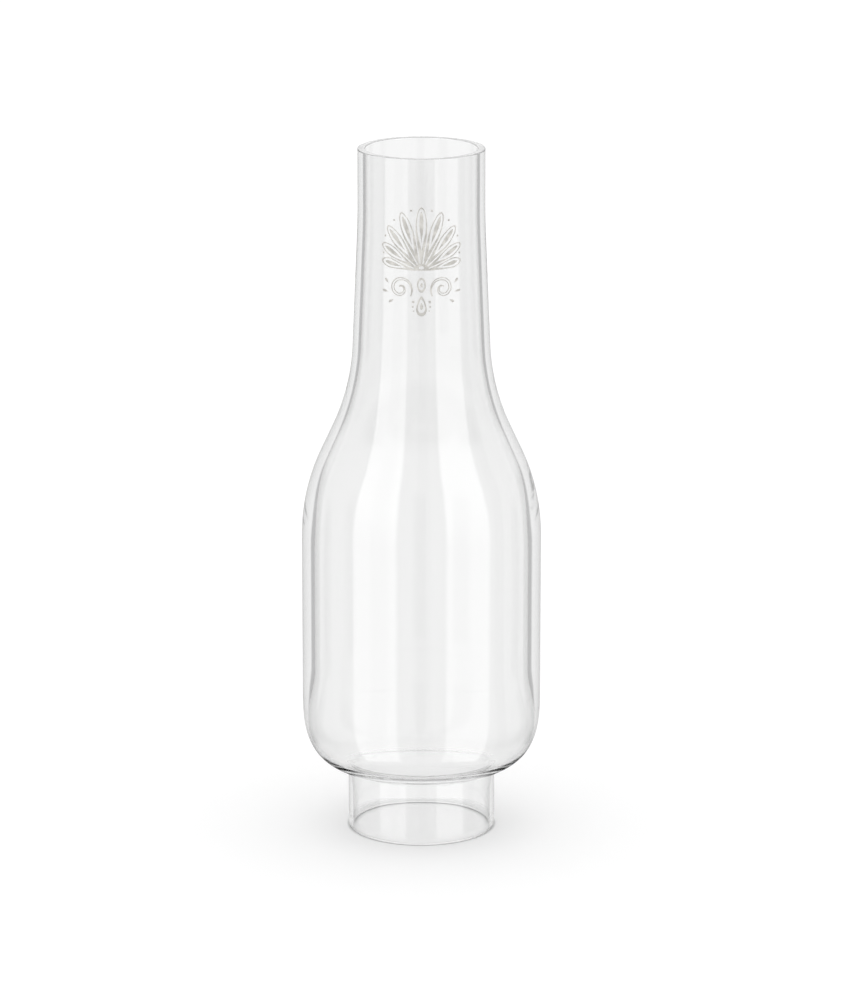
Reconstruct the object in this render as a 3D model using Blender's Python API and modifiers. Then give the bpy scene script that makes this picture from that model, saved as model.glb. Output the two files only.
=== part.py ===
"""Clear glass chimney for a kerosene lamp, with a frosted enamel ornament on its neck.

The chimney is one piece of blown glass, open at both ends. From the foot up it has a short straight collar
that stands in the burner's gallery, a rounded base, a straight body, a soft shoulder, and a long neck that
narrows slightly to a flat-cut rim. The ornament is a thin layer of enamel fired on to the front of the neck.

Units are metres and Z is up. The origin is on the chimney's axis, in the plane that its foot stands on. The
ornament faces -Y.
"""

import math

import bmesh
import bpy
import numpy as np

MM = 0.001

# The chimney's outside, from the rim down
HEIGHT = 317.5 * MM
LIP_RADIUS = 28.7 * MM
LIP_LOW_Z = 292 * MM
LIP_BEND_RADIUS = 350 * MM
NECK_TAPER = math.radians(2.45)
NECK_BEND_RADIUS = 100 * MM
SHOULDER_SLOPE = math.radians(25)
BODY_BEND_RADIUS = 92 * MM
BODY_HIGH_Z = 138.5 * MM
BODY_RADIUS = 54.6 * MM
BODY_LOW_Z = 65 * MM
BASE_CURVE_WIDTH = 30 * MM
BASE_CURVE_DROP = 36 * MM
BASE_CURVE_POWER = 3.0
COLLAR_FILLET_REACH = 1.6 * MM
COLLAR_RADIUS = 33.65 * MM
RIM_ROUNDING = 0.5 * MM

# The glass's thickness at heights on its outside, both in millimetres: it is thickest in the body
WALL_AT = (
    (0, 2.0), (23, 2.0), (29, 2.6), (38, 2.0), (76, 5.6), (140, 5.6), (175, 4.3), (215, 3.7), (300, 3.5),
    (317.5, 3.5),
)

# How finely the glass is drawn
TURN_STEPS = 48
ROUNDING_STEPS = 2
LIP_BEND_STEPS = 2
BEND_STEPS = 6
BASE_CURVE_STEPS = 11
BASE_CURVE_EASE = 1.4
COLLAR_FILLET_STEPS = 3

# The enamel ornament, laid out flat about its own centre before it is wrapped round the neck
ORNAMENT_Z = 271.5 * MM
ENAMEL_GAP = 0.1 * MM
ENAMEL_THICKNESS = 0.2 * MM
WRAP_STRIP = 2.5 * MM

FAN_CENTRE_Y = -4.5 * MM
FAN_HUB_RADIUS = 3.6 * MM
FAN_REACH_UP = 29 * MM
FAN_REACH_SIDE = 18.6 * MM
FAN_PETALS = 9
FAN_PETAL_SPACING = math.radians(19.2)
FAN_PETAL_HALF_WIDTH = 2.6 * MM
FAN_PETAL_ROOT_HALF_WIDTH = 0.45 * MM
FAN_PETAL_GAP = 0.5 * MM
FAN_SHORT_PETAL_SHARE = 0.72
FAN_PETAL_POINTS = 9
LEAF_BELLY = 0.62
LEAF_SWELL = 1.5
LEAF_TIP_EASE = 1.5
VEIN_FROM = 0.34
VEIN_TO = 0.86
VEIN_SHARE = 0.36
VEIN_POINTS = 6

SCROLL_EYE_X = 9.6 * MM
SCROLL_EYE_Y = -12.3 * MM
SCROLL_INNER_RADIUS = 0.9 * MM
SCROLL_OUTER_RADIUS = 5.8 * MM
SCROLL_START = math.radians(215)
SCROLL_TURNS = 1.45
SCROLL_HALF_WIDTH = 0.8 * MM
SCROLL_END_SHARE = 0.35
SCROLL_WINDING = 0.85
SCROLL_SWELL = 0.8
SCROLL_POINTS = 34

KNOT_Y = -10.6 * MM
KNOT_HALF_WIDTH = 2 * MM
KNOT_HALF_HEIGHT = 3.4 * MM
KNOT_HOLE_SHARE = 0.45
DROP_TOP_Y = -15.6 * MM
DROP_LENGTH = 9 * MM
DROP_HALF_WIDTH = 2.2 * MM
DROP_TAPER = 0.45
DROP_HOLE_SHARE = 0.4
OVAL_POINTS = 20


class Outline:
    """A pen that draws down the glass's outer side. A heading is the angle out from straight down."""

    def __init__(self, radius, height, heading):
        self.points = [(radius, height, heading)]

    def line(self, length):
        radius, height, heading = self.points[-1]
        self.points.append((radius + length * math.sin(heading), height - length * math.cos(heading), heading))

    def line_down_to(self, height):
        _, start, heading = self.points[-1]
        self.line((start - height) / math.cos(heading))

    def arc(self, bend_radius, turn, steps):
        radius, height, start = self.points[-1]
        curve = math.copysign(bend_radius, turn)
        for step in range(1, steps + 1):
            heading = start + turn * step / steps
            across = curve * (math.cos(start) - math.cos(heading))
            down = curve * (math.sin(heading) - math.sin(start))
            self.points.append((radius + across, height - down, heading))


def shoulder_run():
    """The straight run on the shoulder that makes the neck meet the lip's radius."""
    taper, slope = math.sin(NECK_TAPER), math.sin(SHOULDER_SLOPE)
    taper_cos, slope_cos = math.cos(NECK_TAPER), math.cos(SHOULDER_SLOPE)
    arcs_in = BODY_BEND_RADIUS * (1 - slope_cos) + NECK_BEND_RADIUS * (taper_cos - slope_cos)
    arcs_in += LIP_BEND_RADIUS * (1 - taper_cos)
    arcs_up = BODY_BEND_RADIUS * slope + NECK_BEND_RADIUS * (slope - taper) + LIP_BEND_RADIUS * taper
    narrowing = BODY_RADIUS - LIP_RADIUS - arcs_in
    rise = LIP_LOW_Z - BODY_HIGH_Z - arcs_up
    return (narrowing - rise * math.tan(NECK_TAPER)) / (slope - slope_cos * math.tan(NECK_TAPER))


def base_curve(outline):
    """Rounds the body in to the collar along a superellipse, which bends late and then tightly."""
    centre = BODY_RADIUS - BASE_CURVE_WIDTH
    share = (COLLAR_RADIUS + COLLAR_FILLET_REACH - centre) / BASE_CURVE_WIDTH
    last = math.acos(share ** (BASE_CURVE_POWER / 2))
    power = 2 / BASE_CURVE_POWER
    for step in range(1, BASE_CURVE_STEPS + 1):
        angle = last * (step / BASE_CURVE_STEPS) ** BASE_CURVE_EASE
        sine, cosine = math.sin(angle), math.cos(angle)
        radius = centre + BASE_CURVE_WIDTH * cosine ** power
        height = BODY_LOW_Z - BASE_CURVE_DROP * sine ** power
        inward = BASE_CURVE_WIDTH * cosine ** (power - 1) * sine
        downward = BASE_CURVE_DROP * sine ** (power - 1) * cosine
        outline.points.append((radius, height, -math.atan2(inward, downward)))


def outer_side():
    """The outer side of the glass as (radius, height, heading), from the rim's rounding to the foot's."""
    quarter = math.pi / 2
    run = shoulder_run()
    neck_end = BODY_HIGH_Z + BODY_BEND_RADIUS * math.sin(SHOULDER_SLOPE) + run * math.cos(SHOULDER_SLOPE)
    neck_end += NECK_BEND_RADIUS * (math.sin(SHOULDER_SLOPE) - math.sin(NECK_TAPER))
    outline = Outline(LIP_RADIUS - RIM_ROUNDING, HEIGHT, quarter)
    outline.arc(RIM_ROUNDING, -quarter, ROUNDING_STEPS)
    outline.line_down_to(LIP_LOW_Z)
    outline.arc(LIP_BEND_RADIUS, NECK_TAPER, LIP_BEND_STEPS)
    outline.line_down_to(neck_end)
    outline.arc(NECK_BEND_RADIUS, SHOULDER_SLOPE - NECK_TAPER, BEND_STEPS)
    outline.line(run)
    outline.arc(BODY_BEND_RADIUS, -SHOULDER_SLOPE, BEND_STEPS)
    outline.line_down_to(BODY_LOW_Z)
    base_curve(outline)
    heading = outline.points[-1][2]
    outline.arc(COLLAR_FILLET_REACH / (1 - math.cos(heading)), -heading, COLLAR_FILLET_STEPS)
    outline.line_down_to(RIM_ROUNDING)
    outline.arc(RIM_ROUNDING, -quarter, ROUNDING_STEPS)
    return outline.points


def wall_thickness(height):
    """The glass's thickness at a height, eased between the stations."""
    low = max(i for i, (z, _) in enumerate(WALL_AT[:-1]) if z * MM <= height or i == 0)
    (z0, wall0), (z1, wall1) = WALL_AT[low], WALL_AT[low + 1]
    along = min(max((height / MM - z0) / (z1 - z0), 0), 1)
    eased = along * along * (3 - 2 * along)
    return (wall0 + (wall1 - wall0) * eased) * MM


def glass_profile():
    """The whole section of the wall: down the outer side, across the foot, up the inner side."""
    outer = outer_side()
    foot_wall, rim_wall = wall_thickness(0), wall_thickness(HEIGHT)
    foot = Outline(COLLAR_RADIUS - foot_wall + RIM_ROUNDING, 0, -math.pi / 2)
    foot.arc(RIM_ROUNDING, -math.pi / 2, ROUNDING_STEPS)
    rim = Outline(LIP_RADIUS - rim_wall, HEIGHT - RIM_ROUNDING, -math.pi)
    rim.arc(RIM_ROUNDING, -math.pi / 2, ROUNDING_STEPS)
    inner = []
    for radius, height, heading in reversed(outer[ROUNDING_STEPS + 1:-ROUNDING_STEPS - 1]):
        wall = wall_thickness(height)
        inner.append((radius - wall * math.cos(heading), height - wall * math.sin(heading)))
    ends = [[point[:2] for point in part] for part in (outer, foot.points, rim.points)]
    return ends[0] + ends[1] + inner + ends[2]


def make_material(name, colour, roughness, transmission, alpha=1.0):
    material = bpy.data.materials.new(name)
    material.use_nodes = True
    shader = material.node_tree.nodes["Principled BSDF"]
    shader.inputs["Base Color"].default_value = (*colour, 1)
    shader.inputs["Roughness"].default_value = roughness
    shader.inputs["Metallic"].default_value = 0
    shader.inputs["IOR"].default_value = 1.5
    shader.inputs["Transmission Weight"].default_value = transmission
    shader.inputs["Alpha"].default_value = alpha
    return material


def add_object(name, mesh, collection, material):
    mesh.materials.clear()
    mesh.materials.append(material)
    part = bpy.data.objects.new(name, mesh)
    collection.objects.link(part)
    return part


def turned_glass(name, profile, collection, material):
    """Turns a closed profile round the Z axis."""
    mesh = bpy.data.meshes.new(name)
    count = len(profile)
    mesh.from_pydata([(r, 0, z) for r, z in profile], [(i, (i + 1) % count) for i in range(count)], [])
    part = add_object(name, mesh, collection, material)
    screw = part.modifiers.new("turn", "SCREW")
    screw.axis = "Z"
    screw.angle = 2 * math.pi
    screw.steps = TURN_STEPS
    screw.render_steps = TURN_STEPS
    screw.use_merge_vertices = True
    screw.merge_threshold = 0.01 * MM
    screw.use_smooth_shade = True
    return part


def leaf_half_width(along, root, widest):
    """Half the width of a leaf at a share of its length: it swells from its root to a round tip."""
    if along < LEAF_BELLY:
        return root + (widest - root) * math.sin(math.pi / 2 * along / LEAF_BELLY) ** LEAF_SWELL
    return widest * math.sqrt(max(0, 1 - ((along - LEAF_BELLY) / (1 - LEAF_BELLY)) ** 2))


def petal_side(start, end, root, widest, points):
    """Distances along and beside a petal's axis, from its root to just short of its tip.

    The petals fan out from one point, so the room beside an axis grows with the distance along it.
    """
    side = []
    for step in range(points):
        share = 1 - (1 - step / points) ** LEAF_TIP_EASE
        along = start + (end - start) * share
        room = along * math.tan(FAN_PETAL_SPACING / 2) - FAN_PETAL_GAP / 2
        side.append((along, min(leaf_half_width(share, root, widest), room)))
    return side


def fan_outlines():
    """One outline of all the petals round their hub, and a slot-shaped hole along each petal."""
    rim, veins = [], []
    middle = (FAN_PETALS - 1) / 2
    for petal in range(FAN_PETALS):
        lean = (petal - middle) * FAN_PETAL_SPACING
        reach = math.hypot(FAN_REACH_SIDE * math.sin(lean), FAN_REACH_UP * math.cos(lean))
        size = FAN_SHORT_PETAL_SHARE + (1 - FAN_SHORT_PETAL_SHARE) * reach / FAN_REACH_UP
        widest = FAN_PETAL_HALF_WIDTH * size
        side = petal_side(FAN_HUB_RADIUS, reach, FAN_PETAL_ROOT_HALF_WIDTH, widest, FAN_PETAL_POINTS)
        loop = [(along, -beside) for along, beside in side] + [(reach, 0)] + list(reversed(side))
        length = reach - FAN_HUB_RADIUS
        slot_start = FAN_HUB_RADIUS + VEIN_FROM * length
        slot_end = FAN_HUB_RADIUS + VEIN_TO * length
        slot_side = petal_side(slot_start, slot_end, 0, widest * VEIN_SHARE, VEIN_POINTS)[1:]
        slot = [(slot_start, 0)] + [(along, -beside) for along, beside in slot_side]
        slot += [(slot_end, 0)] + list(reversed(slot_side))
        rim += [leaned(point, lean) for point in loop]
        veins.append([leaned(point, lean) for point in slot])
    return [rim] + veins


def leaned(point, lean):
    """A point given along and beside a petal's axis, turned to the petal's lean on the flat ornament."""
    along, beside = point
    across = -along * math.sin(lean) - beside * math.cos(lean)
    return across, FAN_CENTRE_Y + along * math.cos(lean) - beside * math.sin(lean)


def scroll_outline(side):
    """A band that winds inwards and tapers to both ends. side is 1 for the right one, -1 for the left."""
    outer, inner = [], []
    for step in range(SCROLL_POINTS):
        along = step / (SCROLL_POINTS - 1)
        turn = SCROLL_START - 2 * math.pi * SCROLL_TURNS * along
        wound = along ** SCROLL_WINDING
        reach = SCROLL_OUTER_RADIUS + (SCROLL_INNER_RADIUS - SCROLL_OUTER_RADIUS) * wound
        swell = math.sin(math.pi * along ** SCROLL_SWELL)
        band = SCROLL_HALF_WIDTH * (SCROLL_END_SHARE + (1 - SCROLL_END_SHARE) * swell)
        outer.append((reach + band, turn))
        inner.append((reach - band, turn))
    return [
        (side * (SCROLL_EYE_X + reach * math.cos(turn)), SCROLL_EYE_Y + reach * math.sin(turn))
        for reach, turn in outer + list(reversed(inner))
    ]


def oval(centre_y, half_width, half_height, taper=0.0):
    """An oval on the ornament's middle line. A positive taper makes it a drop, narrow at the top."""
    points = []
    for step in range(OVAL_POINTS):
        angle = 2 * math.pi * step / OVAL_POINTS
        height = math.sin(angle)
        width = half_width * math.cos(angle) * (1 - taper * height)
        points.append((width, centre_y + half_height * height))
    return points


def flat_enamel(outlines):
    """A flat, filled plate from closed outlines. An outline inside another one is a hole."""
    curve = bpy.data.curves.new("plate", "CURVE")
    curve.dimensions = "2D"
    curve.fill_mode = "BOTH"
    curve.extrude = ENAMEL_THICKNESS / 2
    for outline in outlines:
        spline = curve.splines.new("POLY")
        spline.points.add(len(outline) - 1)
        spline.use_cyclic_u = True
        for point, (x, y) in zip(spline.points, outline):
            point.co = (x, y, 0, 1)
    plate = bpy.data.objects.new("plate", curve)
    bpy.context.scene.collection.objects.link(plate)
    bpy.context.view_layer.update()
    evaluated = plate.evaluated_get(bpy.context.evaluated_depsgraph_get())
    mesh = bpy.data.meshes.new_from_object(evaluated)
    bpy.data.objects.remove(plate)
    bpy.data.curves.remove(curve)
    return mesh


def cut_into_strips(shape):
    """Cuts upright lines across a plate, so that it can bend without cutting corners."""
    reach = max(abs(vertex.co.x) for vertex in shape.verts)
    count = int(reach / WRAP_STRIP) + 1
    for strip in range(-count, count + 1):
        everything = shape.verts[:] + shape.edges[:] + shape.faces[:]
        bmesh.ops.bisect_plane(
            shape, geom=everything, dist=0.001 * MM, plane_co=(strip * WRAP_STRIP, 0, 0), plane_no=(1, 0, 0)
        )


def wrapped_enamel(name, outlines, collection, material):
    """Bends a flat plate round the front of the neck."""
    mesh = flat_enamel(outlines)
    shape = bmesh.new()
    shape.from_mesh(mesh)
    bmesh.ops.remove_doubles(shape, verts=shape.verts, dist=0.001 * MM)
    cut_into_strips(shape)
    neck = sorted((height, radius) for radius, height, _ in outer_side() if height > BODY_HIGH_Z)
    heights, radii = zip(*neck)
    for vertex in shape.verts:
        across, up, out = vertex.co
        height = ORNAMENT_Z + up
        surface = float(np.interp(height, heights, radii))
        angle = across / surface
        reach = surface + ENAMEL_GAP + ENAMEL_THICKNESS / 2 + out
        vertex.co = (reach * math.sin(angle), -reach * math.cos(angle), height)
    shape.to_mesh(mesh)
    shape.free()
    mesh.name = name
    return add_object(name, mesh, collection, material)


def add_ornament(collection, material):
    """The enamel's five patches, none of which touches another."""
    wrapped_enamel("ornament_fan", fan_outlines(), collection, material)
    wrapped_enamel("ornament_scroll_left", [scroll_outline(-1)], collection, material)
    wrapped_enamel("ornament_scroll_right", [scroll_outline(1)], collection, material)
    knot = [
        oval(KNOT_Y, KNOT_HALF_WIDTH * share, KNOT_HALF_HEIGHT * share)
        for share in (1, KNOT_HOLE_SHARE)
    ]
    wrapped_enamel("ornament_knot", knot, collection, material)
    drop_y = DROP_TOP_Y - DROP_LENGTH / 2
    drop = [
        oval(drop_y, DROP_HALF_WIDTH * share, DROP_LENGTH / 2 * share, DROP_TAPER)
        for share in (1, DROP_HOLE_SHARE)
    ]
    wrapped_enamel("ornament_drop", drop, collection, material)


def main():
    for old in list(bpy.data.objects):
        bpy.data.objects.remove(old)
    parts = bpy.data.collections.new("glass_chimney")
    bpy.context.scene.collection.children.link(parts)
    glass = make_material("clear_glass", (1, 1, 1), roughness=0, transmission=1)
    enamel = make_material("frosted_enamel", (0.66, 0.64, 0.6), roughness=0.8, transmission=0)
    turned_glass("chimney_glass", glass_profile(), parts, glass)
    add_ornament(parts, enamel)


main()
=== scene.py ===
"""Looks for a clear glass lamp chimney with a frosted enamel ornament on its neck.

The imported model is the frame. The turned glass and the patches of enamel get fine meshes that stand in the
place of the plain CAD solids, with the same driving dimensions, and materials made of shader nodes. The
beads of enamel have no CAD solid. The studio is a pale floor, a camera and soft light from a world of nodes.

Lengths are in metres, angles in radians and Z is up. The ornament faces -Y, and so does the camera's side.
"""

import logging
import math
from dataclasses import dataclass
from enum import Enum
from functools import cached_property

import bmesh
import bpy
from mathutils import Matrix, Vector


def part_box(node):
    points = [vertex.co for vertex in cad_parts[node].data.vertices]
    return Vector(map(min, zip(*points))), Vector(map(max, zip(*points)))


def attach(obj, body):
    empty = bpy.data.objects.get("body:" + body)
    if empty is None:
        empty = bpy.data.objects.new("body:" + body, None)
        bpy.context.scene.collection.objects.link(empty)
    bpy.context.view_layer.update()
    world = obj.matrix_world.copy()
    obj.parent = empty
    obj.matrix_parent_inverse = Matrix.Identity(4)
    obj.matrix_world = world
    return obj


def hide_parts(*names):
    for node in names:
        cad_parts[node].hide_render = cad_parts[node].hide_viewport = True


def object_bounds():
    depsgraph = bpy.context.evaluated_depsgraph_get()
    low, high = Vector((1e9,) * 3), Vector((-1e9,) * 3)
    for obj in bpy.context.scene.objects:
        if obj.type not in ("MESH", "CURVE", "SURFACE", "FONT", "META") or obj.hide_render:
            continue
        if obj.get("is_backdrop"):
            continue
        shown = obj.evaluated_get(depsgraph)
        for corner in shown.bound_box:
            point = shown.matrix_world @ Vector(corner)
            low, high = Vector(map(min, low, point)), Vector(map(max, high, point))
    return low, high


MM = 0.001

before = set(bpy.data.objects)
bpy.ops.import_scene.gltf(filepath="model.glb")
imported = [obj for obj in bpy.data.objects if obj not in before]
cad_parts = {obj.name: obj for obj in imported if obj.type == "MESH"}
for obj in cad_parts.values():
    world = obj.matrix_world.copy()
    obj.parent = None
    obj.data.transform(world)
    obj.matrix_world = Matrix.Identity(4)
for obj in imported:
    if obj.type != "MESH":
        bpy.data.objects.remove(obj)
cad_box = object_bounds()

log = logging.getLogger("lamp_chimney")

Colour = tuple[float, float, float]
Point = tuple[float, float]
Range = tuple[float, float]
Loop = list[Point]
Socket = bpy.types.NodeSocket


class Side(Enum):
    """A side of the ornament, as seen by someone who faces it."""

    LEFT = -1
    RIGHT = 1


class Ray(Enum):
    """The Light Path outputs that the studio tells apart."""

    CAMERA = "Is Camera Ray"
    MIRRORED = "Is Glossy Ray"
    THROUGH_GLASS = "Is Transmission Ray"


class Pen:
    """Draws the section of a turned shape. A heading is the angle outwards from straight down."""

    def __init__(self, radius: float, height: float, heading: float) -> None:
        """Puts the pen down.

        Args:
            radius: Distance from the axis.
            height: Height over the foot.
            heading: The way the pen faces.
        """
        self.points: list[tuple[float, float, float]] = [(radius, height, heading)]

    def line(self, length: float, steps: int = 1) -> None:
        """Draws straight on.

        Args:
            length: How far to go.
            steps: How many pieces the line is drawn in.
        """
        radius, height, heading = self.points[-1]
        for step in range(1, steps + 1):
            gone = length * step / steps
            across, down = gone * math.sin(heading), gone * math.cos(heading)
            self.points.append((radius + across, height - down, heading))

    def line_down_to(self, height: float, steps: int = 1) -> None:
        """Draws straight on as far as a height.

        Args:
            height: The height to stop at.
            steps: How many pieces the line is drawn in.
        """
        _, start, heading = self.points[-1]
        self.line((start - height) / math.cos(heading), steps)

    def arc(self, bend_radius: float, turn: float, steps: int) -> None:
        """Draws part of a circle.

        Args:
            bend_radius: The circle's radius.
            turn: How far the heading turns outwards.
            steps: How many pieces the arc is drawn in.
        """
        radius, height, start = self.points[-1]
        curve = math.copysign(bend_radius, turn)
        for step in range(1, steps + 1):
            heading = start + turn * step / steps
            across = curve * (math.cos(start) - math.cos(heading))
            down = curve * (math.sin(heading) - math.sin(start))
            self.points.append((radius + across, height - down, heading))


class NodeSheet:
    """Adds shader nodes to a node tree and joins them up."""

    def __init__(self, tree: bpy.types.NodeTree) -> None:
        """Takes over a node tree and empties it.

        Args:
            tree: The node tree to fill.
        """
        self.tree = tree
        tree.nodes.clear()

    def add(self, kind: str, **inputs: object) -> bpy.types.Node:
        """Adds a node.

        Args:
            kind: The node's type name.
            inputs: Values or output sockets for its inputs, named with _ for a space.

        Returns:
            The new node.
        """
        node = self.tree.nodes.new(kind)
        for name, value in inputs.items():
            self.feed(node.inputs[name.replace("_", " ")], value)
        return node

    def feed(self, socket: Socket, value: object) -> None:
        """Sets an input, or links it.

        Args:
            socket: The input socket.
            value: A number, a vector, a colour or another node's output socket.
        """
        if isinstance(value, bpy.types.NodeSocket):
            self.tree.links.new(value, socket)
        else:
            socket.default_value = value

    def math(self, operation: str, *numbers: object) -> Socket:
        """Adds a Math node.

        Args:
            operation: The node's operation.
            numbers: The numbers or sockets that it works on.

        Returns:
            The result's socket.
        """
        node = self.tree.nodes.new("ShaderNodeMath")
        node.operation = operation
        for socket, value in zip(node.inputs, numbers):
            self.feed(socket, value)
        return node.outputs[0]

    def ramp(self, value: Socket, low: float, high: float, start: float = 0.0, end: float = 1.0) -> Socket:
        """Eases from one number to another as a value crosses a range.

        Args:
            value: The value that crosses the range.
            low: Where the range starts.
            high: Where the range ends.
            start: The result below the range.
            end: The result above the range.

        Returns:
            The result's socket.
        """
        node = self.tree.nodes.new("ShaderNodeMapRange")
        node.interpolation_type = "SMOOTHSTEP"
        limits = {"Value": value, "From Min": low, "From Max": high, "To Min": start, "To Max": end}
        for name, number in limits.items():
            self.feed(node.inputs[name], number)
        return node.outputs["Result"]

    def band(self, value: Socket, low: float, high: float, edge: float) -> Socket:
        """Picks out a range of a value.

        Args:
            value: The value.
            low: The middle of the range's lower edge.
            high: The middle of its upper edge.
            edge: Half the width of both edges.

        Returns:
            A socket that is 1 in the range and 0 outside it.
        """
        enter = self.ramp(value, low - edge, low + edge)
        leave = self.ramp(value, high - edge, high + edge, 1.0, 0.0)
        return self.math("MULTIPLY", enter, leave)

    def blend(self, share: object, first: object, second: object) -> Socket:
        """Mixes two numbers.

        Args:
            share: How much of the second number shows.
            first: The number at 0.
            second: The number at 1.

        Returns:
            The mix's socket.
        """
        node = self.tree.nodes.new("ShaderNodeMix")
        node.data_type = "FLOAT"
        for socket, value in zip(node.inputs[:1] + node.inputs[2:4], (share, first, second)):
            self.feed(socket, value)
        return node.outputs[0]

    def tone(self, share: object, first: Colour, second: Colour) -> Socket:
        """Mixes two colours.

        Args:
            share: How much of the second colour shows.
            first: The colour at 0.
            second: The colour at 1.

        Returns:
            The mix's socket.
        """
        node = self.tree.nodes.new("ShaderNodeMix")
        node.data_type = "RGBA"
        for socket, value in zip(node.inputs[:1] + node.inputs[6:8], (share, (*first, 1), (*second, 1))):
            self.feed(socket, value)
        return node.outputs[2]

    def mixed(self, share: object, first: Socket, second: Socket) -> Socket:
        """Mixes two shaders.

        Args:
            share: How much of the second shader shows.
            first: The shader at 0.
            second: The shader at 1.

        Returns:
            The mix's socket.
        """
        node = self.tree.nodes.new("ShaderNodeMixShader")
        for socket, value in zip(node.inputs, (share, first, second)):
            self.feed(socket, value)
        return node.outputs[0]


@dataclass(frozen=True)
class Grain:
    """A noise pattern."""

    scale: float
    detail: float
    roughness: float

    def draw(self, sheet: NodeSheet, place: Socket) -> Socket:
        """Adds the pattern to a node sheet.

        Args:
            sheet: The sheet.
            place: The point on the surface.

        Returns:
            The pattern's socket, from 0 to 1.
        """
        noise = sheet.add("ShaderNodeTexNoise", Vector=place, Scale=self.scale)
        sheet.feed(noise.inputs["Detail"], self.detail)
        sheet.feed(noise.inputs["Roughness"], self.roughness)
        return noise.outputs[0]


@dataclass(frozen=True)
class ClearGlass:
    """Clear blown glass with faint upright streaks, and a tint that turns a little greyer up the neck as
    painted shade.
    """

    name: str = "clear_glass"
    tint: Colour = (0.953, 0.954, 0.953)
    # Painted shade: the glass's tint turns this much greyer between these two heights on the neck.
    neck_shade_tint: Colour = (0.934, 0.935, 0.934)
    neck_shade_low_z: float = 145 * MM
    neck_shade_high_z: float = 235 * MM
    refraction: float = 1.5
    streaks: Grain = Grain(scale=55.0, detail=1.5, roughness=0.4)
    streak_stretch: float = 0.06
    streak_depth: float = 0.012 * MM
    streak_strength: float = 0.25

    def material(self) -> bpy.types.Material:
        """Makes the material.

        Returns:
            A glass material whose tint varies with height and whose bump comes from stretched noise.
        """
        material = bpy.data.materials.new(self.name)
        material.use_nodes = True
        sheet = NodeSheet(material.node_tree)
        place = sheet.add("ShaderNodeTexCoord").outputs["Object"]
        stretched = sheet.add("ShaderNodeMapping", Vector=place, Scale=(1, 1, self.streak_stretch))
        bump = sheet.add(
            "ShaderNodeBump",
            Height=self.streaks.draw(sheet, stretched.outputs[0]),
            Strength=self.streak_strength,
            Distance=self.streak_depth,
        )
        height = sheet.add("ShaderNodeSeparateXYZ", Vector=place).outputs[2]
        # Painted shade: the tint greys up the neck between the two heights.
        neck_shade = sheet.ramp(height, self.neck_shade_low_z, self.neck_shade_high_z)
        glass = sheet.add(
            "ShaderNodeBsdfPrincipled",
            Base_Color=sheet.tone(neck_shade, self.tint, self.neck_shade_tint),
            Roughness=0.0,
            Metallic=0.0,
            IOR=self.refraction,
            Transmission_Weight=1.0,
            Normal=bump.outputs[0],
        )
        sheet.add("ShaderNodeOutputMaterial", Surface=glass.outputs[0])
        return material


@dataclass(frozen=True)
class FrostedEnamel:
    """Matt, warm grey-white enamel, fired on to the glass, with a fine grain and small thin spots."""

    name: str = "frosted_enamel"
    pale: Colour = (0.86, 0.845, 0.81)
    deep: Colour = (0.62, 0.605, 0.57)
    grain: Grain = Grain(scale=2600.0, detail=3.0, roughness=0.6)
    cloud: Grain = Grain(scale=330.0, detail=2.0, roughness=0.5)
    patch_range: Range = (0.38, 0.62)
    grain_range: Range = (0.3, 0.7)
    roughness: Range = (0.62, 0.86)
    grain_strength: float = 0.6
    grain_depth: float = 0.02 * MM
    refraction: float = 1.45
    translucency: float = 0.35

    def material(self) -> bpy.types.Material:
        """Makes the material.

        Returns:
            A rough material whose colour, roughness and bump vary with the grain of the enamel.
        """
        material = bpy.data.materials.new(self.name)
        material.use_nodes = True
        sheet = NodeSheet(material.node_tree)
        place = sheet.add("ShaderNodeTexCoord").outputs["Object"]
        grain = self.grain.draw(sheet, place)
        cloud = self.cloud.draw(sheet, place)
        patches = sheet.blend(0.5, grain, cloud)
        colour = sheet.tone(sheet.ramp(patches, *self.patch_range), self.deep, self.pale)
        bump = sheet.add(
            "ShaderNodeBump", Height=grain, Strength=self.grain_strength, Distance=self.grain_depth
        )
        enamel = sheet.add(
            "ShaderNodeBsdfPrincipled",
            Base_Color=colour,
            Roughness=sheet.ramp(grain, *self.grain_range, *self.roughness),
            Metallic=0.0,
            IOR=self.refraction,
            Normal=bump.outputs[0],
        )
        behind = sheet.add("ShaderNodeBsdfTranslucent", Color=colour, Normal=bump.outputs[0])
        surface = sheet.mixed(self.translucency, enamel.outputs[0], behind.outputs[0])
        sheet.add("ShaderNodeOutputMaterial", Surface=surface)
        return material


@dataclass(frozen=True)
class Fineness:
    """How many pieces each stretch of the glass is drawn in."""

    lip: int = 5
    lip_bend: int = 8
    neck: int = 12
    neck_bend: int = 20
    shoulder: int = 6
    body_bend: int = 20
    body: int = 16
    base_curve: int = 44
    collar_fillet: int = 12
    collar: int = 8
    rounding: int = 5
    flat_end: int = 3
    round_the_axis: int = 192


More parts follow.
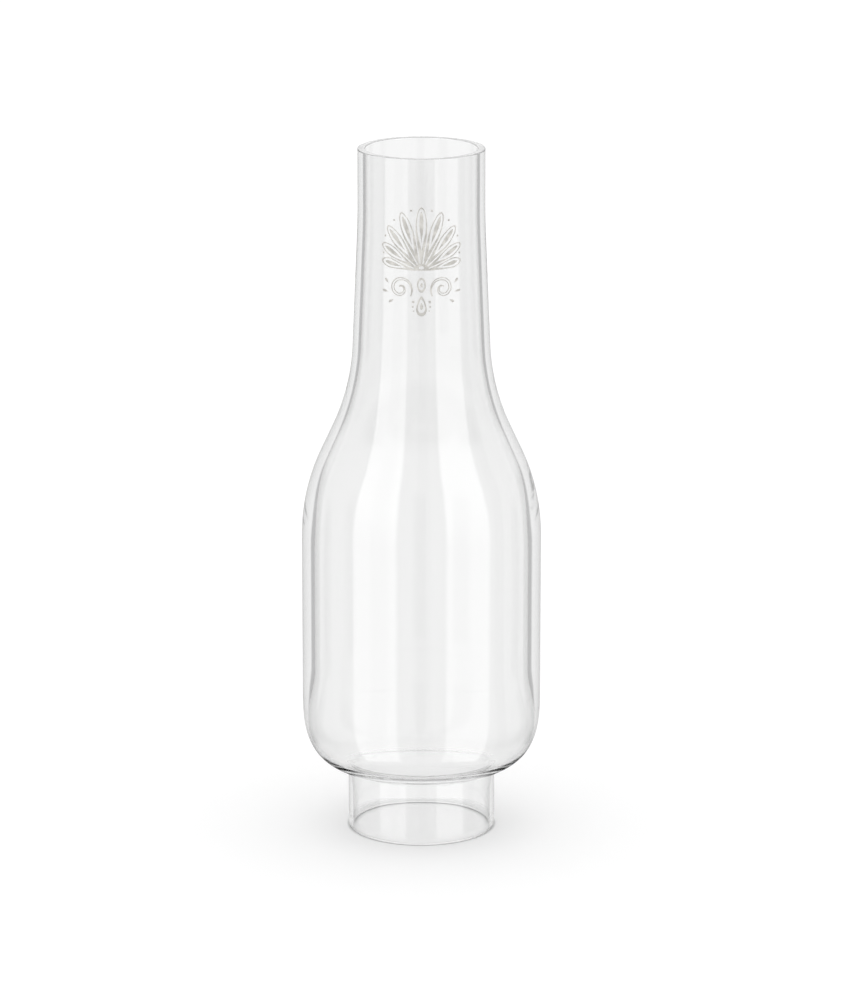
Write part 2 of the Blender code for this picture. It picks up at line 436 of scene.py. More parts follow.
@dataclass
class BlownGlass:
    """The chimney's glass: one turned wall from rim to foot, open at both ends."""

    height: float
    body_radius: float
    lip_radius: float = 28.7 * MM
    lip_low_z: float = 292 * MM
    lip_bend_radius: float = 350 * MM
    neck_taper: float = math.radians(2.45)
    neck_bend_radius: float = 100 * MM
    shoulder_slope: float = math.radians(25)
    body_bend_radius: float = 92 * MM
    body_high_z: float = 138.5 * MM
    body_low_z: float = 65 * MM
    base_curve_width: float = 30 * MM
    base_curve_drop: float = 36 * MM
    base_curve_power: float = 3.0
    base_curve_ease: float = 1.4
    collar_radius: float = 33.65 * MM
    collar_fillet_reach: float = 1.6 * MM
    rim_rounding: float = 0.5 * MM
    # Heights on the outside and the wall's thickness there, in millimetres. It is thickest in the body
    wall_at: tuple[tuple[float, float], ...] = (
        (0, 2.0), (23, 2.0), (29, 2.6), (38, 2.0), (76, 5.6), (140, 5.6), (175, 4.3), (215, 3.7),
        (300, 3.5), (317.5, 3.5),
    )
    fineness: Fineness = Fineness()
    finish: ClearGlass = ClearGlass()

    def shoulder_run(self) -> float:
        """Works out the shoulder's straight run.

        Returns:
            The length that makes the neck meet the lip's radius.
        """
        taper, slope = math.sin(self.neck_taper), math.sin(self.shoulder_slope)
        taper_cos, slope_cos = math.cos(self.neck_taper), math.cos(self.shoulder_slope)
        arcs_in = self.body_bend_radius * (1 - slope_cos) + self.neck_bend_radius * (taper_cos - slope_cos)
        arcs_in += self.lip_bend_radius * (1 - taper_cos)
        arcs_up = self.body_bend_radius * slope + self.neck_bend_radius * (slope - taper)
        arcs_up += self.lip_bend_radius * taper
        narrowing = self.body_radius - self.lip_radius - arcs_in
        rise = self.lip_low_z - self.body_high_z - arcs_up
        tangent = math.tan(self.neck_taper)
        return (narrowing - rise * tangent) / (slope - slope_cos * tangent)

    def draw_base(self, pen: Pen) -> None:
        """Rounds the body in to the collar along a superellipse, then turns down into the collar.

        Args:
            pen: The pen, at the body's lower end.
        """
        centre = self.body_radius - self.base_curve_width
        share = (self.collar_radius + self.collar_fillet_reach - centre) / self.base_curve_width
        last = math.acos(share ** (self.base_curve_power / 2))
        power = 2 / self.base_curve_power
        steps = self.fineness.base_curve
        for step in range(1, steps + 1):
            angle = last * (step / steps) ** self.base_curve_ease
            sine, cosine = math.sin(angle), math.cos(angle)
            radius = centre + self.base_curve_width * cosine ** power
            height = self.body_low_z - self.base_curve_drop * sine ** power
            inward = self.base_curve_width * cosine ** (power - 1) * sine
            downward = self.base_curve_drop * sine ** (power - 1) * cosine
            pen.points.append((radius, height, -math.atan2(inward, downward)))
        heading = pen.points[-1][2]
        fillet_radius = self.collar_fillet_reach / (1 - math.cos(heading))
        pen.arc(fillet_radius, -heading, self.fineness.collar_fillet)

    def outer_side(self) -> list[tuple[float, float, float]]:
        """Draws the glass's outer side.

        Returns:
            Its points as (radius, height, heading), from below the rim's rounding to above the foot's.
        """
        run, fine = self.shoulder_run(), self.fineness
        neck_end = self.body_high_z + self.body_bend_radius * math.sin(self.shoulder_slope)
        neck_end += run * math.cos(self.shoulder_slope)
        neck_end += self.neck_bend_radius * (math.sin(self.shoulder_slope) - math.sin(self.neck_taper))
        pen = Pen(self.lip_radius, self.height - self.rim_rounding, 0)
        pen.line_down_to(self.lip_low_z, fine.lip)
        pen.arc(self.lip_bend_radius, self.neck_taper, fine.lip_bend)
        pen.line_down_to(neck_end, fine.neck)
        pen.arc(self.neck_bend_radius, self.shoulder_slope - self.neck_taper, fine.neck_bend)
        pen.line(run, fine.shoulder)
        pen.arc(self.body_bend_radius, -self.shoulder_slope, fine.body_bend)
        pen.line_down_to(self.body_low_z, fine.body)
        self.draw_base(pen)
        pen.line_down_to(self.rim_rounding, fine.collar)
        return pen.points

    def wall_thickness(self, height: float) -> float:
        """Eases the wall's thickness between its stations.

        Args:
            height: A height on the glass's outside.

        Returns:
            The thickness there.
        """
        low = max(i for i, (z, _) in enumerate(self.wall_at[:-1]) if z * MM <= height or i == 0)
        (z0, wall0), (z1, wall1) = self.wall_at[low], self.wall_at[low + 1]
        along = min(max((height / MM - z0) / (z1 - z0), 0), 1)
        eased = along * along * (3 - 2 * along)
        return (wall0 + (wall1 - wall0) * eased) * MM

    def inner_side(self) -> list[tuple[float, float, float]]:
        """Sets the inner side in from the outer one by the wall's thickness.

        Returns:
            Its points from the foot up, as (radius, height, heading). A heading is the way the pen goes.
        """
        places = []
        for radius, height, heading in reversed(self.outer_side()):
            wall = self.wall_thickness(height)
            places.append((radius - wall * math.cos(heading), height - wall * math.sin(heading)))
        points = []
        for i, (radius, height) in enumerate(places):
            before, after = places[max(i - 1, 0)], places[min(i + 1, len(places) - 1)]
            heading = math.atan2(after[0] - before[0], before[1] - after[1])
            points.append((radius, height, heading))
        return points

    def end(self, pen: Pen, height: float) -> list[tuple[float, float, float]]:
        """Draws across the rim or the foot: a rounded edge, a flat and another rounded edge.

        Args:
            pen: The pen, on the side that the drawing comes from.
            height: The height of the end.

        Returns:
            The points between the two sides.
        """
        quarter = math.pi / 2
        pen.arc(self.rim_rounding, -quarter, self.fineness.rounding)
        pen.line(self.wall_thickness(height) - 2 * self.rim_rounding, self.fineness.flat_end)
        pen.arc(self.rim_rounding, -quarter, self.fineness.rounding)
        return pen.points[1:-1]

    def section(self) -> list[tuple[float, float, float]]:
        """Draws round the whole wall.

        Returns:
            A closed loop of (radius, height, heading): down the outer side, across the foot, up the inner
            side and across the rim.
        """
        outer, inner = self.outer_side(), self.inner_side()
        foot = self.end(Pen(*outer[-1]), 0)
        rim = self.end(Pen(inner[-1][0], inner[-1][1], -math.pi), self.height)
        return outer + foot + inner + rim

    def surface_radius(self, height: float) -> float:
        """Finds the glass's outside on the neck.

        Args:
            height: A height on the neck.

        Returns:
            The distance from the axis to the glass there.
        """
        points = self.outer_side()
        for (radius, top, _), (next_radius, low, _) in zip(points, points[1:]):
            if low <= height <= top:
                along = (top - height) / (top - low)
                return radius + (next_radius - radius) * along
        return self.lip_radius

    def build(self) -> bpy.types.Object:
        """Turns the section round the axis and gives each point the section's own normal.

        Returns:
            The glass, with its material.
        """
        section = self.section()
        count, turns = len(section), self.fineness.round_the_axis
        places, normals, faces = [], [], []
        for turn in range(turns):
            angle = 2 * math.pi * turn / turns
            ahead, aside = math.cos(angle), math.sin(angle)
            for radius, height, heading in section:
                outward = math.cos(heading)
                places.append((radius * ahead, radius * aside, height))
                normals.append((outward * ahead, outward * aside, math.sin(heading)))
        for turn in range(turns):
            here, there = turn * count, (turn + 1) % turns * count
            for i in range(count):
                j = (i + 1) % count
                faces.append((here + i, here + j, there + j, there + i))
        mesh = bpy.data.meshes.new("chimney_glass_fine")
        mesh.from_pydata(places, [], faces)
        mesh.shade_smooth()
        mesh.normals_split_custom_set_from_vertices(normals)
        mesh.materials.append(self.finish.material())
        glass = bpy.data.objects.new("chimney_glass_fine", mesh)
        bpy.context.scene.collection.objects.link(glass)
        return glass


@dataclass(frozen=True)
class Leaf:
    """A leaf along an axis: it swells from its root to a round tip."""

    start: float
    end: float
    root: float
    widest: float
    belly: float = 0.62
    swell: float = 1.5
    tip_ease: float = 1.7

    def half_width(self, share: float) -> float:
        """Finds half the leaf's width.

        Args:
            share: Where along the leaf, from 0 at its root to 1 at its tip.

        Returns:
            Half the width there.
        """
        if share < self.belly:
            swollen = math.sin(math.pi / 2 * share / self.belly) ** self.swell
            return self.root + (self.widest - self.root) * swollen
        past = (share - self.belly) / (1 - self.belly)
        return self.widest * math.sqrt(max(0, 1 - past * past))

    def loop(self, points: int, room: float = math.inf, gap: float = 0.0) -> Loop:
        """Draws round the leaf.

        Args:
            points: How many points each side has.
            room: The room beside the axis, for each unit of distance along it.
            gap: How much of that room stays empty.

        Returns:
            Its outline as distances along and beside its axis.
        """
        side = []
        for step in range(points):
            share = 1 - (1 - step / points) ** self.tip_ease
            along = self.start + (self.end - self.start) * share
            side.append((along, min(self.half_width(share), along * room - gap)))
        return [(along, -beside) for along, beside in side] + [(self.end, 0)] + list(reversed(side))


@dataclass(frozen=True)
class Bud:
    """A small leaf outside a scroll, at an angle round the scroll's eye."""

    angle: float
    length: float


@dataclass(frozen=True)
class Bead:
    """A round dot of enamel beside the ornament's middle line."""

    x: float
    y: float
    radius: float


def turned(loop: Loop, lean: float, centre: Point) -> Loop:
    """Leans an outline that was drawn along an upright axis.

    Args:
        loop: Distances along and beside the axis.
        lean: How far the axis leans to the left.
        centre: Where the axis starts.

    Returns:
        The outline on the flat ornament.
    """
    cosine, sine = math.cos(lean), math.sin(lean)
    return [
        (centre[0] - along * sine - beside * cosine, centre[1] + along * cosine - beside * sine)
        for along, beside in loop
    ]


def oval(centre: Point, half_width: float, half_height: float, points: int, taper: float = 0.0) -> Loop:
    """Draws an oval, or a drop.

    Args:
        centre: The oval's centre.
        half_width: Half its width.
        half_height: Half its height.
        points: How many points it has.
        taper: How much narrower the top half is and how much wider the bottom half.

    Returns:
        The oval's outline.
    """
    loop = []
    for step in range(points):
        angle = 2 * math.pi * step / points
        width = half_width * math.cos(angle) * (1 - taper * math.sin(angle))
        loop.append((centre[0] + width, centre[1] + half_height * math.sin(angle)))
    return loop


@dataclass
class EnamelPrint:
    """Lays flat outlines round the neck as a thin, solid film of enamel."""

    glass: BlownGlass
    centre_z: float
    gap: float = 0.01 * MM
    thickness: float = 0.06 * MM
    strip: float = 0.5 * MM
    weld: float = 0.0001 * MM
    finish: FrostedEnamel = FrostedEnamel()

    @cached_property
    def material(self) -> bpy.types.Material:
        """The enamel's material, made once for all the patches."""
        return self.finish.material()

    def flat(self, loops: list[Loop]) -> bpy.types.Mesh:
        """Fills outlines. An outline inside another is a hole, and one inside a hole is filled again.

        Args:
            loops: Closed outlines on the flat ornament.

        Returns:
            A plate of the film's thickness.
        """
        curve = bpy.data.curves.new("plate", "CURVE")
        curve.dimensions = "2D"
        curve.fill_mode = "BOTH"
        curve.extrude = self.thickness / 2
        for loop in loops:
            spline = curve.splines.new("POLY")
            spline.points.add(len(loop) - 1)
            spline.use_cyclic_u = True
            for point, (x, y) in zip(spline.points, loop):
                point.co = (x, y, 0, 1)
        plate = bpy.data.objects.new("plate", curve)
        bpy.context.scene.collection.objects.link(plate)
        bpy.context.view_layer.update()
        mesh = bpy.data.meshes.new_from_object(plate.evaluated_get(bpy.context.evaluated_depsgraph_get()))
        bpy.data.objects.remove(plate)
        bpy.data.curves.remove(curve)
        return mesh

    def cut_strips(self, shape: bmesh.types.BMesh) -> None:
        """Cuts upright lines across a plate, so that it bends smoothly.

        Args:
            shape: The flat plate.
        """
        reach = max(abs(vertex.co.x) for vertex in shape.verts)
        count = int(reach / self.strip) + 1
        for strip in range(-count, count + 1):
            whole = shape.verts[:] + shape.edges[:] + shape.faces[:]
            place = (strip * self.strip, 0, 0)
            bmesh.ops.bisect_plane(shape, geom=whole, dist=self.weld, plane_co=place, plane_no=(1, 0, 0))

    def bend(self, shape: bmesh.types.BMesh) -> None:
        """Bends a plate round the front of the neck.

        Args:
            shape: The flat plate, cut into strips.
        """
        for vertex in shape.verts:
            across, up, out = vertex.co
            height = self.centre_z + up
            surface = self.glass.surface_radius(height)
            reach = surface + self.gap + self.thickness / 2 + out
            angle = across / surface
            vertex.co = (reach * math.sin(angle), -reach * math.cos(angle), height)

    def wrapped(self, name: str, loops: list[Loop]) -> bpy.types.Object:
        """Makes one patch of enamel.

        Args:
            name: The patch's name.
            loops: Its closed outlines on the flat ornament.

        Returns:
            The patch on the neck, with its material.
        """
        mesh = self.flat(loops)
        shape = bmesh.new()
        shape.from_mesh(mesh)
        bmesh.ops.remove_doubles(shape, verts=shape.verts, dist=self.weld)
        self.cut_strips(shape)
        self.bend(shape)
        shape.to_mesh(mesh)
        shape.free()
        mesh.name = name
        mesh.materials.clear()
        mesh.materials.append(self.material)
        patch = bpy.data.objects.new(name, mesh)
        bpy.context.scene.collection.objects.link(patch)
        return patch


@dataclass
class Ornament:
    """A fan of petals over two scrolls, a knot and a drop, laid out flat about its own centre.

    A size whose name ends in lines is counted in widths of the ornament's lines. A share is a part of the
    petal, the scroll or the outline that it belongs to, from 0 to 1.
    """

    line: float = 0.58 * MM
    least_half_width: float = 0.02 * MM
    fan_centre: Point = (0.0, -4.5 * MM)
    hub_radius: float = 3.6 * MM
    hub_seed_rise: float = 1.7 * MM
    hub_seed_half_width: float = 1.1 * MM
    hub_seed_half_height: float = 0.75 * MM
    reach_up: float = 29 * MM
    reach_side: float = 18.6 * MM
    petals: int = 9
    petal_spacing: float = math.radians(19.2)
    petal_half_width: float = 2.6 * MM
    petal_root_half_width: float = 0.45 * MM
    petal_gap: float = 0.5 * MM
    short_petal_share: float = 0.72
    hole_root_share: float = 0.2
    hole_tip_lines: float = 1.3
    hole_side_lines: float = 0.8
    vein_root_share: float = 0.36
    vein_tip_lines: float = 3.4
    vein_width_share: float = 0.36
    scroll_eye: Point = (9.6 * MM, -12.3 * MM)
    scroll_outer_radius: float = 5.8 * MM
    scroll_inner_radius: float = 0.9 * MM
    scroll_start: float = math.radians(215)
    scroll_turns: float = 1.45
    scroll_winding: float = 0.85
    scroll_half_width: float = 0.8 * MM
    scroll_end_share: float = 0.35
    scroll_swell: float = 0.8
    slot_shares: Range = (0.12, 0.72)
    slot_side_lines: float = 0.8
    buds: tuple[Bud, ...] = (
        Bud(math.radians(20), 2.6 * MM),
        Bud(math.radians(-18), 3.1 * MM),
        Bud(math.radians(-58), 2.6 * MM),
    )
    bud_gap: float = 0.35 * MM
    bud_lean: float = 0.5
    bud_root_half_width: float = 0.05 * MM
    bud_half_width: float = 0.55 * MM
    knot_y: float = -10.6 * MM
    knot_half_width: float = 2 * MM
    knot_half_height: float = 3.4 * MM
    knot_shares: tuple[float, ...] = (1, 0.66, 0.3)
    drop_top_y: float = -15.6 * MM
    drop_length: float = 9 * MM
    drop_half_width: float = 2.2 * MM
    drop_taper: float = 0.45
    drop_shares: tuple[float, ...] = (1, 0.68, 0.34)
    tip_bead_inset: float = 1.0 * MM
    tip_bead_radius: float = 0.5 * MM
    side_beads: tuple[Bead, ...] = (
        Bead(3.7 * MM, -18.2 * MM, 0.62 * MM),
        Bead(3.9 * MM, -20.4 * MM, 0.48 * MM),
        Bead(3.5 * MM, -22.3 * MM, 0.36 * MM),
    )
    petal_points: int = 26
    hole_points: int = 22
    vein_points: int = 16
    bud_points: int = 14
    band_points: int = 110
    slot_points: int = 70
    oval_points: int = 48
    bead_points: int = 20

    def lean(self, petal: float) -> float:
        """The lean of a petal to the left; a half is between two petals."""
        return (petal - (self.petals - 1) / 2) * self.petal_spacing

    def reach(self, lean: float) -> float:
        """The distance from the fan's centre to a petal's tip at a lean."""
        return math.hypot(self.reach_side * math.sin(lean), self.reach_up * math.cos(lean))

    def petal(self, lean: float) -> tuple[Loop, Loop, Loop]:
        """Draws a petal.

        Args:
            lean: The petal's lean to the left.

        Returns:
            The petal's outline, the hole in it and the vein in the hole.
        """
        reach, line = self.reach(lean), self.line
        length = reach - self.hub_radius
        short = self.short_petal_share
        widest = self.petal_half_width * (short + (1 - short) * reach / self.reach_up)
        room = math.tan(self.petal_spacing / 2)
        gap = self.petal_gap / 2
        hole_gap = gap + self.hole_side_lines * line
        outer = Leaf(self.hub_radius, reach, self.petal_root_half_width, widest)
        hole_root = self.hub_radius + self.hole_root_share * length
        hole = Leaf(hole_root, reach - self.hole_tip_lines * line, 0, widest - line)
        vein_root = self.hub_radius + self.vein_root_share * length
        vein_tip = reach - self.vein_tip_lines * line
        vein = Leaf(vein_root, vein_tip, self.least_half_width, self.vein_width_share * widest)
        return (
            turned(outer.loop(self.petal_points, room, gap), lean, self.fan_centre),
            turned(hole.loop(self.hole_points, room, hole_gap), lean, self.fan_centre),
            turned(vein.loop(self.vein_points), lean, self.fan_centre),
        )

    def fan(self) -> list[Loop]:
        """Draws the petals round their hub.

        Returns:
            One outline round all the petals, then a hole and a vein inside each, and the seed in the hub.
        """
        rim: Loop = []
        inside: list[Loop] = []
        for petal in range(self.petals):
            outline, hole, vein = self.petal(self.lean(petal))
            rim += outline
            inside += [hole, vein]
        seed_centre = (self.fan_centre[0], self.fan_centre[1] + self.hub_seed_rise)
        seed = oval(seed_centre, self.hub_seed_half_width, self.hub_seed_half_height, self.oval_points)
        return [rim] + inside + [seed]

    def scroll_line(self, share: float) -> tuple[float, float, float]:
        """Follows the middle of a scroll's band.

        Args:
            share: Where along the band, from 0 at its foot to 1 at its eye.

        Returns:
            The distance from the eye, the angle round it and half the band's width.
        """
        angle = self.scroll_start - 2 * math.pi * self.scroll_turns * share
        winding = (self.scroll_inner_radius - self.scroll_outer_radius) * share ** self.scroll_winding
        swollen = math.sin(math.pi * share ** self.scroll_swell)
        width_share = self.scroll_end_share + (1 - self.scroll_end_share) * swollen
        return self.scroll_outer_radius + winding, angle, self.scroll_half_width * width_share

    def scroll_point(self, reach: float, angle: float) -> Point:
        """A point at a distance from the right scroll's eye and at an angle round it."""
        return self.scroll_eye[0] + reach * math.cos(angle), self.scroll_eye[1] + reach * math.sin(angle)

    def scroll_band(self, start: float, end: float, cut: float, points: int) -> Loop:
        """Draws round a stretch of the right scroll's band.

        Args:
            start: Where the stretch starts, as a share of the band.
            end: Where it ends.
            cut: How much narrower than the band it is on each side.
            points: How many points each side has.

        Returns:
            The outline of the stretch.
        """
        outer, inner = [], []
        for step in range(points):
            reach, angle, half = self.scroll_line(start + (end - start) * step / (points - 1))
            half = max(half - cut, self.least_half_width)
            outer.append(self.scroll_point(reach + half, angle))
            inner.append(self.scroll_point(reach - half, angle))
        return outer + list(reversed(inner))

    def scroll(self, side: Side) -> list[Loop]:
        """Draws one scroll.

        Args:
            side: Which side of the ornament it is on.

        Returns:
            Its band, a slot along the band and the buds along its outside.
        """
        slot_cut = self.slot_side_lines * self.line
        loops = [
            self.scroll_band(0, 1, 0, self.band_points),
            self.scroll_band(*self.slot_shares, slot_cut, self.slot_points),
        ]
        for bud in self.buds:
            root = self.scroll_point(self.scroll_outer_radius + self.bud_gap, bud.angle)
            leaf = Leaf(0, bud.length, self.bud_root_half_width, self.bud_half_width)
            lean = bud.angle - math.pi / 2 + self.bud_lean
            loops.append(turned(leaf.loop(self.bud_points), lean, root))
        return [[(side.value * x, y) for x, y in loop] for loop in loops]

    def knot(self) -> list[Loop]:
        """Draws the knot between the scrolls as a ring with an oval seed in it."""
        centre = (0, self.knot_y)
        width, height = self.knot_half_width, self.knot_half_height
        return [oval(centre, width * s, height * s, self.oval_points) for s in self.knot_shares]

    def drop(self) -> list[Loop]:
        """Draws the drop under the knot as a ring with a smaller drop in it."""
        height = self.drop_length / 2
        centre = (0, self.drop_top_y - height)
        return [
            oval(centre, self.drop_half_width * s, height * s, self.oval_points, self.drop_taper)
            for s in self.drop_shares
        ]

    def beads(self) -> list[Loop]:
        """Draws the beads between the petals' tips and beside the drop.

        Returns:
            One small circle for each bead.
        """
        loops = []
        for petal in range(self.petals - 1):
            lean = self.lean(petal + 0.5)
            far = self.reach(lean) - self.tip_bead_inset
            centre = (-far * math.sin(lean), self.fan_centre[1] + far * math.cos(lean))
            loops.append(oval(centre, self.tip_bead_radius, self.tip_bead_radius, self.bead_points))
        for bead in self.side_beads:
            for side in Side:
                centre = (side.value * bead.x, bead.y)
                loops.append(oval(centre, bead.radius, bead.radius, self.bead_points))
        return loops

    def build(self, printer: EnamelPrint) -> dict[str, bpy.types.Object]:
        """Makes every patch of the ornament.

        Args:
            printer: What lays the patches on the neck.

        Returns:
            The patches, each under the name of the CAD node that it stands for, or its own name.
        """
        drawn = {
            "ornament_fan": self.fan(),
            "ornament_scroll_left": self.scroll(Side.LEFT),
            "ornament_scroll_right": self.scroll(Side.RIGHT),
            "ornament_knot": self.knot(),
            "ornament_drop": self.drop(),
            "ornament_beads": self.beads(),
        }
        return {name: printer.wrapped(f"{name}_fine", loops) for name, loops in drawn.items()}


@dataclass
class PaleFloor:
    """A white floor that glows a little, since light through the glass isn't traced on to it.

    The glow is stronger inside the foot and weaker in a ring under it. Away from the foot the floor fades
    out of what the glass mirrors and bends.
    """

    half_side: float = 40.0
    gap: float = 0.1 * MM
    albedo: float = 0.57
    glow: float = 0.392
    foot_glow: float = 0.22
    foot_glow_radius: float = 30 * MM
    foot_glow_edge: float = 1.5 * MM
    contact_shade: float = 0.25
    contact_radii: Range = (31.2 * MM, 34.2 * MM)
    contact_edge: float = 0.4 * MM
    fade_radii: Range = (36 * MM, 46 * MM)

    def material(self) -> bpy.types.Material:
        """Makes the material.

        Returns:
            A matt white with a glow that depends on the distance from the chimney's axis.
        """
        material = bpy.data.materials.new("floor_white")
        material.use_nodes = True
        sheet = NodeSheet(material.node_tree)
        length = sheet.tree.nodes.new("ShaderNodeVectorMath")
        length.operation = "LENGTH"
        sheet.feed(length.inputs[0], sheet.add("ShaderNodeNewGeometry").outputs["Position"])
        distance = length.outputs["Value"]
        radius, edge = self.foot_glow_radius, self.foot_glow_edge
        inside = sheet.ramp(distance, radius - edge, radius + edge, self.foot_glow, 0.0)
        contact = sheet.band(distance, *self.contact_radii, self.contact_edge)
        strength = sheet.math("ADD", inside, self.glow)
        strength = sheet.math("SUBTRACT", strength, sheet.math("MULTIPLY", contact, self.contact_shade))
        matt = sheet.add("ShaderNodeBsdfDiffuse", Color=(self.albedo, self.albedo, self.albedo, 1))
        glow = sheet.add("ShaderNodeEmission", Color=(1, 1, 1, 1), Strength=strength)
        surface = sheet.tree.nodes.new("ShaderNodeAddShader")
        sheet.feed(surface.inputs[0], matt.outputs[0])
        sheet.feed(surface.inputs[1], glow.outputs[0])
        clear = sheet.add("ShaderNodeBsdfTransparent")
        path = sheet.add("ShaderNodeLightPath").outputs
        bent = sheet.math("MAXIMUM", path[Ray.MIRRORED.value], path[Ray.THROUGH_GLASS.value])
        away = sheet.ramp(distance, *self.fade_radii)
        seen = sheet.mixed(sheet.math("MULTIPLY", away, bent), surface.outputs[0], clear.outputs[0])
        sheet.add("ShaderNodeOutputMaterial", Surface=seen)
        return material

    def build(self) -> bpy.types.Object:
        """Lays the floor.

        Returns:
            A plane just under the foot, with its material.
        """
        bpy.ops.mesh.primitive_plane_add(size=2 * self.half_side, location=(0, 0, -self.gap))
        floor = bpy.context.object
        floor.name = "floor"
        floor.data.materials.append(self.material())
        floor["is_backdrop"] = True
        return floor


@dataclass
class SoftSky:
    """Soft light from all round: a world that is white to the eye, with more in it for the glass.

    A turn goes round from the front, and a rise goes up from level. What the glass mirrors is dim, but for
    two tall soft windows in front and a bright sky behind. What it bends is white, with dark cards round it.
    """

    white: float = 1.0
    soft_light: float = 1.2
    window_turn: Range = (math.radians(24), math.radians(69))
    window_rise: Range = (math.radians(-47), math.radians(70))
    window_edge: float = math.radians(2.5)
    window_light: Range = (2.1, 3.0)
    window_light_rise: Range = (-0.2, 0.3)
    front_light: float = 0.23
    side_light: float = 0.3
    side_turn: Range = (0.9, 1.4)
    back_light: float = 0.45
    back_turn: Range = (math.radians(140), math.radians(177))
    horizon_rise: Range = (-0.4165, -0.3365)
    overhead_light: float = 1.3
    overhead_rise: Range = (0.05, 0.2)
    overhead_turn: Range = (1.9, 2.3)
    card_light: float = 0.5
    card_spacing: float = math.radians(90)
    card_half_width: float = math.radians(9.5)
    card_edge: float = math.radians(2.5)
    card_rise: Range = (-0.3691, -0.2991)
    right_front_turn: Range = (-0.1, 1.64)
    right_front_edge: float = 0.02
    steep_light: float = 0.36
    steep_rise: Range = (-0.8829, -0.7629)

    def mirrored(self, sheet: NodeSheet, aside: Socket, rise: Socket) -> Socket:
        """Works out what the glass mirrors.

        Args:
            sheet: The world's node sheet.
            aside: The turn, on either side.
            rise: The rise.

        Returns:
            The light's strength.
        """
        around = sheet.ramp(aside, *self.side_turn, self.front_light, self.side_light)
        around = sheet.blend(sheet.ramp(aside, *self.back_turn), around, self.back_light)
        around = sheet.math("MULTIPLY", around, sheet.ramp(rise, *self.horizon_rise))
        overhead_rise = sheet.ramp(rise, *self.overhead_rise)
        overhead = sheet.math("MULTIPLY", overhead_rise, sheet.ramp(aside, *self.overhead_turn))
        around = sheet.blend(overhead, around, self.overhead_light)
        across = sheet.band(aside, *self.window_turn, self.window_edge)
        window = sheet.math("MULTIPLY", across, sheet.band(rise, *self.window_rise, self.window_edge))
        glare = sheet.ramp(rise, *self.window_light_rise, *self.window_light)
        return sheet.blend(window, around, glare)

    def through(self, sheet: NodeSheet, turn: Socket, rise: Socket) -> Socket:
        """Works out what the glass bends.

        The cards stand at the corners, but on the right front they stand straight ahead and straight aside.

        Args:
            sheet: The world's node sheet.
            turn: The turn, to the right or to the left.
            rise: The rise.

        Returns:
            The light's strength.
        """
        half = self.card_spacing / 2
        right_front = sheet.band(turn, *self.right_front_turn, self.right_front_edge)
        from_square = sheet.math("PINGPONG", turn, half)
        from_corner = sheet.math("SUBTRACT", half, from_square)
        away = sheet.blend(right_front, from_corner, from_square)
        inner, outer = self.card_half_width - self.card_edge, self.card_half_width + self.card_edge
        card = sheet.ramp(away, inner, outer, 1.0, 0.0)
        card = sheet.math("MULTIPLY", card, sheet.ramp(rise, *self.card_rise))
        light = sheet.blend(card, self.white, self.card_light)
        return sheet.blend(sheet.ramp(rise, *self.steep_rise, 1.0, 0.0), light, self.steep_light)

    def build(self) -> bpy.types.World:
        """Makes the world and gives each kind of ray its own light.

        Returns:
            The scene's world.
        """
        world = bpy.data.worlds.new("studio")
        bpy.context.scene.world = world
        world.use_nodes = True
        sheet = NodeSheet(world.node_tree)
        towards = sheet.add("ShaderNodeTexCoord").outputs["Generated"]
        parts = sheet.add("ShaderNodeSeparateXYZ", Vector=towards).outputs
        turn = sheet.math("ARCTAN2", parts[0], sheet.math("MULTIPLY", parts[1], -1.0))
        rise = sheet.math("ARCSINE", parts[2])
        mirrored = self.mirrored(sheet, sheet.math("ABSOLUTE", turn), rise)
        path = sheet.add("ShaderNodeLightPath").outputs
        light = sheet.blend(path[Ray.MIRRORED.value], self.soft_light, mirrored)
        light = sheet.blend(path[Ray.THROUGH_GLASS.value], light, self.through(sheet, turn, rise))
        light = sheet.blend(path[Ray.CAMERA.value], light, self.white)
        background = sheet.add("ShaderNodeBackground", Color=(1, 1, 1, 1), Strength=light)
        sheet.add("ShaderNodeOutputWorld", Surface=background.outputs[0])
        return world


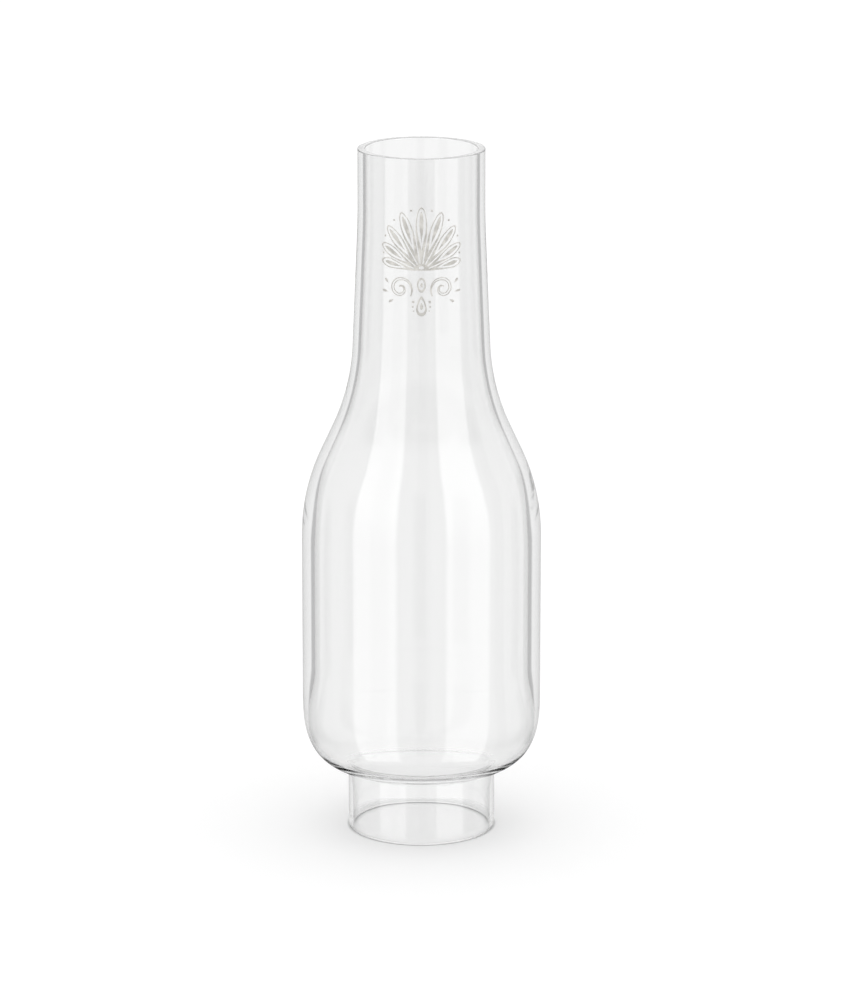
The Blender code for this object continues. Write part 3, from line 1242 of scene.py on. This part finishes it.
@dataclass
class LongLens:
    """A camera with a long lens that looks a little down, and how finely light is traced for it."""

    distance: float = 2.213
    height: float = 0.728
    aside: float = -0.0002
    pitch: float = math.radians(14.53)
    focal_length: float = 180.4
    sensor_width: float = 36.0
    clip_end: float = 200.0
    glass_bounces: int = 64
    clear_bounces: int = 16

    def build(self) -> bpy.types.Object:
        """Sets up the camera.

        Returns:
            The scene's camera.
        """
        data = bpy.data.cameras.new("camera")
        data.lens = self.focal_length
        data.sensor_width = self.sensor_width
        data.clip_end = self.clip_end
        camera = bpy.data.objects.new("camera", data)
        camera.location = (self.aside, -self.distance, self.height)
        camera.rotation_euler = (math.pi / 2 - self.pitch, 0, 0)
        bpy.context.scene.collection.objects.link(camera)
        bpy.context.scene.camera = camera
        return camera

    def tune(self) -> None:
        """Allows enough bounces for light that is trapped in the wall, and shows plain whites."""
        scene = bpy.context.scene
        scene.view_settings.view_transform = "Standard"
        scene.cycles.max_bounces = self.glass_bounces
        scene.cycles.transmission_bounces = self.glass_bounces
        scene.cycles.glossy_bounces = self.glass_bounces
        scene.cycles.transparent_max_bounces = self.clear_bounces


def numbers(box: tuple[Vector, Vector]) -> list[list[float]]:
    """A box's two corners as plain lists."""
    return [[float(value) for value in corner] for corner in box]


def main() -> None:
    """Builds the studio, the glass and the ornament, and reports each piece."""
    logging.basicConfig(level=logging.INFO, format="%(name)s: %(message)s")
    lens = LongLens()
    lens.build()
    lens.tune()
    PaleFloor().build()
    SoftSky().build()
    low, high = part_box("chimney_glass")
    glass = BlownGlass(height=high.z - low.z, body_radius=high.x)
    pieces = {"chimney_glass": glass.build()}
    _, fan_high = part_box("ornament_fan")
    ornament = Ornament()
    printer = EnamelPrint(glass, centre_z=fan_high.z - ornament.fan_centre[1] - ornament.reach_up)
    pieces.update(ornament.build(printer))
    for name, piece in pieces.items():
        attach(piece, "root")
        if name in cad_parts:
            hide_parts(name)
        log.info("%s: %d faces", piece.name, len(piece.data.polygons))
    {"cad": numbers(cad_box), "visual": numbers(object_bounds())}


if __name__ == "__main__":
    main()
